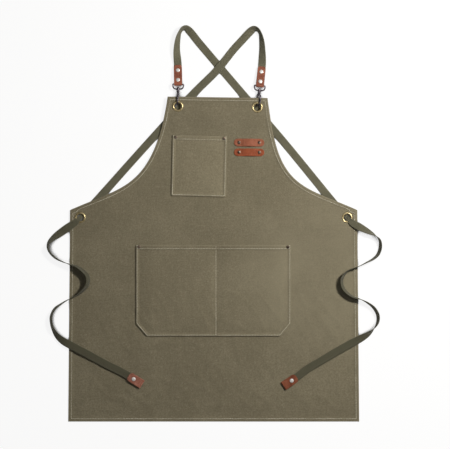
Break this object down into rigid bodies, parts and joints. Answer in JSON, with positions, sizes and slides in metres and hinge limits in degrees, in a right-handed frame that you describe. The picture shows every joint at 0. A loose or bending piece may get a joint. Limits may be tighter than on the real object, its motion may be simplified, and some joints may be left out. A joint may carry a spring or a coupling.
{
  "type": "cross-back apron",
  "caption": "Canvas bib apron laid flat, with pockets, leather tool loops, crossed webbing straps that pass through waist eyelets as ties, and swivel snap hooks on the bib.",
  "frame": {"origin": "middle of the skirt on the canvas's underside, which lies on the surface", "axes": "+X across the apron to the viewer's right, +Y from the skirt's hem up to the bib, +Z out of the front of the apron"},
  "size_m": [0.7684, 0.9137, 0.0206],
  "materials": {
    "canvas_panel": "khaki olive cotton canvas",
    "front_pocket": "khaki olive cotton canvas",
    "chest_pocket": "khaki olive cotton canvas",
    "left_strap": "olive cotton webbing",
    "right_strap": "olive cotton webbing",
    "upper_tool_loop": "red brown leather",
    "lower_tool_loop": "red brown leather",
    "left_strap_end": "red brown leather",
    "right_strap_end": "red brown leather",
    "left_tie_end": "red brown leather",
    "right_tie_end": "red brown leather",
    "left_bib_eyelet": "antique brass",
    "left_bib_eyelet_washer": "antique brass",
    "right_bib_eyelet": "antique brass",
    "right_bib_eyelet_washer": "antique brass",
    "left_waist_eyelet": "antique brass",
    "left_waist_eyelet_washer": "antique brass",
    "right_waist_eyelet": "antique brass",
    "right_waist_eyelet_washer": "antique brass",
    "front_pocket_rivet_left": "dark antique brass",
    "front_pocket_rivet_right": "dark antique brass",
    "chest_pocket_rivet_left": "dark antique brass",
    "chest_pocket_rivet_right": "dark antique brass",
    "upper_tool_loop_rivet_left": "dark antique brass",
    "upper_tool_loop_rivet_right": "dark antique brass",
    "lower_tool_loop_rivet_left": "dark antique brass",
    "lower_tool_loop_rivet_right": "dark antique brass",
    "left_strap_end_rivet_lower": "polished nickel",
    "left_strap_end_rivet_upper": "polished nickel",
    "right_strap_end_rivet_lower": "polished nickel",
    "right_strap_end_rivet_upper": "polished nickel",
    "left_tie_end_rivet": "polished nickel",
    "right_tie_end_rivet": "polished nickel",
    "left_snap_eye": "gunmetal plating",
    "left_snap_hook": "gunmetal plating",
    "left_snap_gate": "gunmetal plating",
    "left_snap_gate_pin": "gunmetal plating",
    "right_snap_eye": "gunmetal plating",
    "right_snap_hook": "gunmetal plating",
    "right_snap_gate": "gunmetal plating",
    "right_snap_gate_pin": "gunmetal plating"
  },
  "bodies": {
    "apron": {"canvas_panel": "canvas_panel", "front_pocket": "front_pocket", "front_pocket_rivet_left": "front_pocket_rivet_left", "front_pocket_rivet_right": "front_pocket_rivet_right", "chest_pocket": "chest_pocket", "chest_pocket_rivet_left": "chest_pocket_rivet_left", "chest_pocket_rivet_right": "chest_pocket_rivet_right", "upper_tool_loop": "upper_tool_loop", "upper_tool_loop_rivet_left": "upper_tool_loop_rivet_left", "upper_tool_loop_rivet_right": "upper_tool_loop_rivet_right", "lower_tool_loop": "lower_tool_loop", "lower_tool_loop_rivet_left": "lower_tool_loop_rivet_left", "lower_tool_loop_rivet_right": "lower_tool_loop_rivet_right", "left_bib_eyelet": "left_bib_eyelet", "left_bib_eyelet_washer": "left_bib_eyelet_washer", "right_bib_eyelet": "right_bib_eyelet", "right_bib_eyelet_washer": "right_bib_eyelet_washer", "left_waist_eyelet": "left_waist_eyelet", "left_waist_eyelet_washer": "left_waist_eyelet_washer", "right_waist_eyelet": "right_waist_eyelet", "right_waist_eyelet_washer": "right_waist_eyelet_washer", "left_strap": "left_strap", "right_strap": "right_strap", "left_strap_end": "left_strap_end", "right_strap_end": "right_strap_end", "left_strap_end_rivet_lower": "left_strap_end_rivet_lower", "left_strap_end_rivet_upper": "left_strap_end_rivet_upper", "right_strap_end_rivet_lower": "right_strap_end_rivet_lower", "right_strap_end_rivet_upper": "right_strap_end_rivet_upper", "left_tie_end": "left_tie_end", "right_tie_end": "right_tie_end", "left_tie_end_rivet": "left_tie_end_rivet", "right_tie_end_rivet": "right_tie_end_rivet"},
    "left_eye": {"left_snap_eye": "left_snap_eye"},
    "left_hook": {"left_snap_hook": "left_snap_hook", "left_snap_gate_pin": "left_snap_gate_pin"},
    "left_gate": {"left_snap_gate": "left_snap_gate"},
    "right_eye": {"right_snap_eye": "right_snap_eye"},
    "right_hook": {"right_snap_hook": "right_snap_hook", "right_snap_gate_pin": "right_snap_gate_pin"},
    "right_gate": {"right_snap_gate": "right_snap_gate"}
  },
  "joints": [
    {"name": "left_eye_pivot", "type": "hinge", "parent": "apron", "child": "left_eye", "pos_m": [-0.0817, 0.4044, 0.0094], "axis": [-0.9997, 0.0262, 0], "range_deg": [0, 2]},
    {"name": "left_hook_swivel", "type": "hinge", "parent": "left_eye", "child": "left_hook", "pos_m": [-0.082, 0.3929, 0.0094], "axis": [0.0262, 0.9997, 0], "range_deg": [-30, 30]},
    {"name": "left_gate_hinge", "type": "hinge", "parent": "left_hook", "child": "left_gate", "pos_m": [-0.08228, 0.3824, 0.0036], "axis": [-0.9997, 0.0262, 0], "range_deg": [0, 10], "stiffness_Nm_per_rad": 0.01, "springref_deg": -5.73},
    {"name": "right_eye_pivot", "type": "hinge", "parent": "apron", "child": "right_eye", "pos_m": [0.1065, 0.40096, 0.0094], "axis": [-0.9962, 0.0872, 0], "range_deg": [0, 2]},
    {"name": "right_hook_swivel", "type": "hinge", "parent": "right_eye", "child": "right_hook", "pos_m": [0.1055, 0.3895, 0.0094], "axis": [0.0872, 0.9962, 0], "range_deg": [-60, 3]},
    {"name": "right_gate_hinge", "type": "hinge", "parent": "right_hook", "child": "right_gate", "pos_m": [0.1017, 0.37929, 0.00438], "axis": [-0.8627, 0.0755, 0.5], "range_deg": [0, 10], "stiffness_Nm_per_rad": 0.01, "springref_deg": -5.73}
  ]
}
